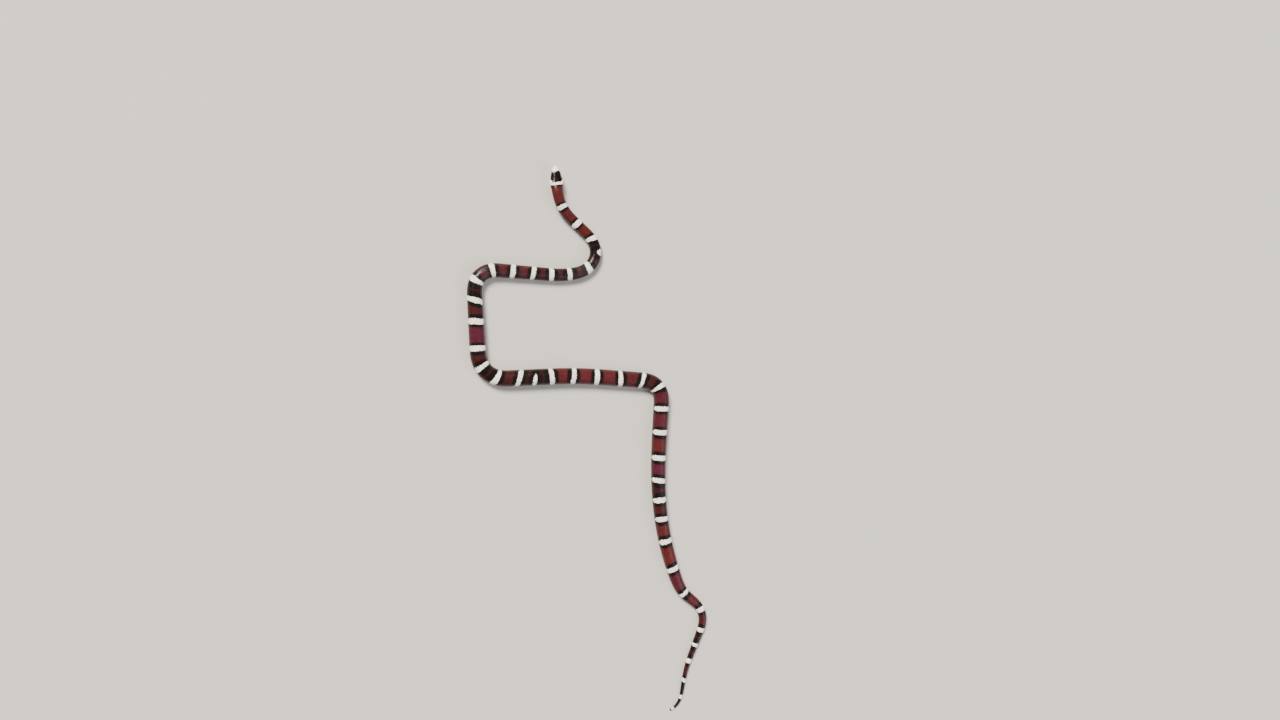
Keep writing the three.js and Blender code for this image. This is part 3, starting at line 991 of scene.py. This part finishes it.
class Shields:
    """Gathers the shields' points and faces for one mesh."""

    def __init__(self):
        self.columns = [], [], [], [], []
        self.faces = []

    def extend(self, *values):
        """Adds a row of points: stations, shares, levels, tints, rims. Gives their numbers."""
        start = len(self.columns[0])
        for column, value in zip(self.columns, values):
            column.extend(np.broadcast_to(value, len(values[0])))
        return list(range(start, len(self.columns[0])))

    def join(self, first, second):
        """Faces between two rows of points."""
        self.faces.extend(zip(first, first[1:], second[1:], second))

    def add_rings(self, rings, size, side):
        tint = rng.uniform(0, 1)
        rows = []
        for number, (points, level) in enumerate(rings):
            station, round_ = points.T
            # painted shade: black deep in the nostril, and darker towards a shield's sunk edge
            rim = NOSTRIL_PAINTED_SHADE if level < NOSTRIL_LIT else 0.5**number
            rows.append(self.extend(station, share_of(station, round_ / size * side), level, tint, rim))
        for outer, inner in zip(rows, rows[1:]):
            self.join(outer + outer[:1], inner + inner[:1])
        self.faces.extend([rows[-1], rows[0][::-1]])

    def add_rostral(self):
        """The shield over the tip of the snout, whose points run out from the tip."""
        rounds = np.concatenate([-ROSTRAL_LIPS[::-1], np.linspace(-0.75, 0.75, 13), ROSTRAL_LIPS])
        edge = ROSTRAL_TOP + ROSTRAL_LIP * np.abs(rounds) ** 1.5 - SHIELD_GAP / 2
        rows = []
        for part in ROSTRAL_PARTS:
            station = edge * part
            to_lip = (1.002 - np.abs(rounds)) * ROSTRAL_WIDTH + ALWAYS * (station < MOUTH_START)
            to_edge = np.minimum((1 - part) * ROSTRAL_LENGTH, to_lip)
            level = SHIELD_EDGE[0][1] * (1 - smooth(0, ROSTRAL_BEVEL, to_edge))
            # a faint even painted shade over the rostral
            rows.append(self.extend(station, share_of(station, rounds), level, 0.5, 0.1))
        for ahead, behind in zip(rows, rows[1:]):
            self.join(ahead, behind)
        self.faces.append(rows[0])
        right = [row[0] for row in rows]
        left = [row[-1] for row in reversed(rows)]
        rim = right + rows[-1][1:-1] + left
        station, level = ROSTRAL_INSIDE
        (inside,) = self.extend([station], 0, level, 0.5, 1)
        self.faces.extend((a, b, inside) for a, b in zip(rim, rim[1:] + rim[:1]))

    def piece(self, name):
        station, share, level, tint, rim = np.array(self.columns)
        made = new_mesh(name, on_snake(station, share, level), self.faces)
        mark(made.data, station, share, tint, rim)
        # the unwrap of the whole head fills the square but for a margin
        u = 0.04 + 0.92 * station / HEAD_END
        v = 0.5 + 0.92 * share * half_girth(station) / (2 * half_girth(WIDEST_HEAD))
        set_unwrap(made.data, np.stack([u, v], -1))
        turn_outwards(made.data)
        return made


def make_shields():
    shields = Shields()
    for side in (1, -1):
        for corners in SIDE_SHIELDS.values():
            shields.add_rings(*shield_rings(corners), side)
        shields.add_rings(*nasal_rings(flat_size(NASAL)), side)
    for corners in MIDDLE_SHIELDS.values():
        shields.add_rings(*shield_rings(corners), 1)
    shields.add_rostral()
    return shields.piece("head_shields")


# Eyes
PUPIL = 0.34
PUPIL_SOFT = 0.03
IRIS = 0.66
IRIS_SOFT = 0.2
EYE_FLAT = 0.55  # the ball is flattened along the way it looks
EYE_OUT = 0.35  # and set this much further out
EYE_UP = 0.42  # how much it looks up and forwards, for 1 to the side
EYE_FORWARD = 0.25


def make_eye(name, side):
    """A dark eyeball in the place of the solid's, flattened along the way it looks and set a little
    further out.
    """
    low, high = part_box(name)
    centre = (low + high) / 2
    radius = (high.z - low.z) / 2
    deselect()
    bpy.ops.mesh.primitive_uv_sphere_add(segments=48, ring_count=32, radius=radius)
    eye = bpy.context.object
    eye.name = name + "_ball"
    way = heading(np.array(EYE_PLACE[0]))
    outwards = Vector((math.sin(way), -math.cos(way), 0)) * side
    rearwards = Vector((math.cos(way), math.sin(way), 0))
    unit = (outwards + Vector((0, 0, EYE_UP)) - rearwards * EYE_FORWARD).normalized()
    eye.data.transform(Matrix.Diagonal((1, 1, EYE_FLAT, 1)))
    eye.data.transform(unit.to_track_quat("Z", "Y").to_matrix().to_4x4())
    centre = centre + unit * EYE_OUT * MM
    eye.data.transform(Matrix.Translation(centre))
    off_axis = [(v.co - centre).cross(unit).length / MM for v in eye.data.vertices]
    add_attribute(eye.data, "from_pupil", off_axis)
    smooth_faces(eye.data)
    return eye


# Materials
def linear(hex_colour):
    """sRGB hex to linear red, green, blue and alpha."""
    parts = [int(hex_colour[i : i + 2], 16) / 255 for i in (0, 2, 4)]
    return tuple(p / 12.92 if p <= 0.04045 else ((p + 0.055) / 1.055) ** 2.4 for p in parts) + (1,)


def add_node(tree, kind, inputs=None, output=0, **settings):
    """Adds a node, sets it up, fills its inputs with values or outputs, and gives one output."""
    made = tree.nodes.new(kind)
    for name, value in settings.items():
        setattr(made, name, value)
    for key, value in (inputs or {}).items():
        if isinstance(value, bpy.types.NodeSocket):
            tree.links.new(value, made.inputs[key])
        else:
            made.inputs[key].default_value = value
    return made.outputs[output] if made.outputs else None


def new_material(name):
    material = bpy.data.materials.new(name)
    material.use_nodes = True
    tree = material.node_tree
    tree.nodes.clear()
    return material, tree


WARM_RED = "5a1e1d"
COOL_RED = "51182b"
DARK_SADDLE = "260e0c"
BLACK = "0d0605"
CREAM = "fbf3e8"
RIM_SHADE = "33241b"
EYE_BLACK = "050404"
EYE_BROWN = "1f0f0a"
PAPER = "c3beb7"
MOTTLE = 1.6  # width of the clouds in the pigment, and of its grain
GRAIN = 0.35
EDGE_WOBBLE = 0.03  # how far the grain moves the markings' edges
GRAIN_BUMP = 0.05
GRAIN_STRENGTH = 0.12
SCALE_SHADES = 0.14  # how much lighter or darker a scale may be
SMOOTHER = -0.05  # how far the roughness goes down and up
ROUGHER = 0.07
HORN_IOR = 1.42
HORN_SPECULAR = 0.3
TEAR_IOR = 1.38
PAPER_CLOUD = 60
PAPER_SHADES = 0.015
PAINT = [
    # what a layer follows, the values between which it comes in, its greatest share, its colour
    ("cool", 0, 1, 1, COOL_RED),
    ("mottle", 0.35, 0.7, 0.3, DARK_SADDLE),
    ("red", 1, 0, 1, DARK_SADDLE),
    # painted shade of the red and black towards the edges of scales and shields; on the skin between
    # them partly its own darker colour
    ("rim", 0, 1, 0.45, BLACK),
    ("black_by", -0.8, 0.5, 1, BLACK),
    ("white_by", -0.07, 0.07, 1, CREAM),
    # painted shade at all edges of scales and shields and on the skin between them
    ("rim", 0, 1, 0.25, RIM_SHADE),
    ("rim", 1.1, 2, 1, BLACK),  # painted shade deep in the nostril
]


def keratin(name, roughness):
    """Smooth horn: deep soft-edged pigment, with painted shade at the edges of scales, on the skin
    between them, on the flanks and in the nostril, under a low, slightly uneven gloss, as if polished.
    """
    material, tree = new_material(name)
    where = add_node(tree, "ShaderNodeTexCoord", output="Object")
    led_by = {}
    for key in MARKS:
        led_by[key] = add_node(tree, "ShaderNodeAttribute", output="Fac", attribute_name=key)
    for cloud, across in (("mottle", MOTTLE), ("grain", GRAIN)):
        sockets = {"Vector": where, "Scale": 1 / (across * MM), "Detail": 3}
        led_by[cloud] = add_node(tree, "ShaderNodeTexNoise", sockets)
    ranges = [
        # a new value, what leads it, from which values, to which
        ("wobble", "grain", (0.3, 0.7), (-EDGE_WOBBLE, EDGE_WOBBLE)),
        ("shade", "tint", (0, 1), (1 - SCALE_SHADES, 1 + SCALE_SHADES)),
        ("uneven", "mottle", (0.3, 0.75), (roughness + SMOOTHER, roughness + ROUGHER)),
    ]
    for new, key, old, to in ranges:
        sockets = {"Value": led_by[key], "From Min": old[0], "From Max": old[1]}
        sockets.update({"To Min": to[0], "To Max": to[1]})
        led_by[new] = add_node(tree, "ShaderNodeMapRange", sockets)
    for edge in ("white_by", "black_by"):
        sockets = {0: led_by[edge], 1: led_by["wobble"]}
        led_by[edge] = add_node(tree, "ShaderNodeMath", sockets, operation="ADD")
    paint = linear(WARM_RED)
    for key, low, high, most, colour in PAINT:
        sockets = {"Value": led_by[key], "From Min": low, "From Max": high, "To Max": most}
        share = add_node(tree, "ShaderNodeMapRange", sockets, interpolation_type="SMOOTHSTEP")
        sockets = {0: share, 6: paint, 7: linear(colour)}
        paint = add_node(tree, "ShaderNodeMix", sockets, output=2, data_type="RGBA")
    sockets = {"Height": led_by["grain"], "Strength": GRAIN_STRENGTH, "Distance": GRAIN_BUMP * MM}
    bump = add_node(tree, "ShaderNodeBump", sockets)
    sockets = {"Color": paint, "Value": led_by["shade"]}
    paint = add_node(tree, "ShaderNodeHueSaturation", sockets)
    sockets = {"Base Color": paint, "Roughness": led_by["uneven"], "Normal": bump}
    sockets.update({"IOR": HORN_IOR, "Specular IOR Level": HORN_SPECULAR})
    surface = add_node(tree, "ShaderNodeBsdfPrincipled", sockets)
    add_node(tree, "ShaderNodeOutputMaterial", {"Surface": surface})
    return material


def eye_surface():
    """A wet clear cover over a near-black iris, so that only its gloss tells it from the pupil."""
    material, tree = new_material("wet_eye")
    off = add_node(tree, "ShaderNodeAttribute", output="Fac", attribute_name="from_pupil")
    paint = linear(EYE_BLACK)
    edges = [(PUPIL - PUPIL_SOFT, PUPIL + PUPIL_SOFT, EYE_BROWN), (IRIS, IRIS + IRIS_SOFT, EYE_BLACK)]
    for low, high, colour in edges:
        share = add_node(tree, "ShaderNodeMapRange", {"Value": off, "From Min": low, "From Max": high})
        sockets = {0: share, 6: paint, 7: linear(colour)}
        paint = add_node(tree, "ShaderNodeMix", sockets, output=2, data_type="RGBA")
    sockets = {"Base Color": paint, "Roughness": 0.05, "IOR": TEAR_IOR}
    surface = add_node(tree, "ShaderNodeBsdfPrincipled", sockets)
    add_node(tree, "ShaderNodeOutputMaterial", {"Surface": surface})
    return material


def matte_paper():
    """Unglazed studio paper: no gloss, with a very faint unevenness."""
    material, tree = new_material("matte_paper")
    where = add_node(tree, "ShaderNodeTexCoord", output="Object")
    cloud = add_node(tree, "ShaderNodeTexNoise", {"Vector": where, "Scale": 1 / (PAPER_CLOUD * MM)})
    sockets = {"Value": cloud, "To Min": 1 - PAPER_SHADES, "To Max": 1 + PAPER_SHADES}
    shade = add_node(tree, "ShaderNodeMapRange", sockets)
    colour = add_node(tree, "ShaderNodeHueSaturation", {"Color": linear(PAPER), "Value": shade})
    sockets = {"Base Color": colour, "Roughness": 0.85, "Specular IOR Level": 0.2}
    surface = add_node(tree, "ShaderNodeBsdfPrincipled", sockets)
    add_node(tree, "ShaderNodeOutputMaterial", {"Surface": surface})
    return material


def finish(piece, material):
    piece.data.materials.clear()
    piece.data.materials.append(material)
    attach(piece, "root")


# Camera and light
CAMERA_PLACE = (-129.3, 98.5, 659.0)
CAMERA_LOOK = (0.2363, -0.0619, -0.9697)
CAMERA_UP = (-0.0097, 0.9978, -0.066)
CAMERA_LENS = 29.53
SENSOR_WIDTH = 36
SUNS = [
    # name, place it shines from, strength, width in degrees and colour
    ("key", (-0.45, 0.65, 0.9), 8.2, 20, "fffaf2"),
    ("fill", (0.7, -0.5, 0.8), 1.7, 45, "f4f6ff"),
]
WORLD = "eef0f2"  # even light of the room
WORLD_STRENGTH = 0.3


def set_camera():
    camera = new_object("camera", bpy.data.cameras.new("camera"))
    camera.data.lens = CAMERA_LENS
    camera.data.sensor_width = SENSOR_WIDTH
    camera.data.clip_start = 0.01
    look = Vector(CAMERA_LOOK).normalized()
    right = look.cross(Vector(CAMERA_UP)).normalized()
    up = right.cross(look)
    turned = Matrix((right, up, -look)).transposed().to_4x4()
    camera.matrix_world = Matrix.Translation(Vector(CAMERA_PLACE) * MM) @ turned
    bpy.context.scene.camera = camera


def set_light():
    """Distant soft lamps that shine on the origin, and the even light of the room."""
    for name, place, strength, degrees, colour in SUNS:
        lamp = bpy.data.lights.new(name, "SUN")
        lamp.energy = strength
        lamp.angle = math.radians(degrees)
        lamp.color = linear(colour)[:3]
        light = new_object(name, lamp)
        light.location = place
        light.rotation_euler = (-Vector(place)).to_track_quat("-Z", "Y").to_euler()
    world = bpy.data.worlds.new("studio")
    bpy.context.scene.world = world
    world.use_nodes = True
    background = world.node_tree.nodes["Background"]
    background.inputs["Color"].default_value = linear(WORLD)
    background.inputs["Strength"].default_value = WORLD_STRENGTH


def make_floor():
    deselect()
    bpy.ops.mesh.primitive_plane_add(size=6)
    floor = bpy.context.object
    floor.name = "floor"
    floor.data.materials.append(matte_paper())


SIZES_VARY = (0.97, 1.03)  # the smallest and largest scale of one place
FLESH = ["head", "neck", *(f"trunk_{i}" for i in range(1, 8)), "tail_1", "tail_2"]
COAT_LENGTHS = [
    ("scales_of_the_neck", 0, 115),
    ("scales_of_the_front_trunk", 115, 238),
    ("scales_of_the_middle_trunk", 238, 345),
    ("scales_of_the_rear_trunk_and_tail", 345, PAST),
]


def make_coat():
    placed = np.concatenate([dorsal_scales(), throat_scales(), tail_scutes()])
    pieces = []
    for name, first, last in COAT_LENGTHS:
        some = placed[(placed[:, 0] >= first) & (placed[:, 0] < last)]
        some[:, 2:] *= rng.uniform(*SIZES_VARY, (2, len(some))).T
        pieces.append(lay_scales(name, *some.T))
    return pieces


def main():
    set_camera()
    set_light()
    make_floor()
    skin_finish = keratin("skin_between_the_scales", 0.45)
    coat_finish = keratin("polished_keratin_scales", 0.22)
    skin = make_skin()
    finish(skin, skin_finish)
    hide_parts(*FLESH)
    for piece in make_coat():
        finish(piece, coat_finish)
    finish(lay_scutes("belly_scutes"), coat_finish)
    finish(make_shields(), coat_finish)
    wet = eye_surface()
    for name, side in (("eye_left", 1), ("eye_right", -1)):
        eye = make_eye(name, side)
        finish(eye, wet)
        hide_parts(name)


main()
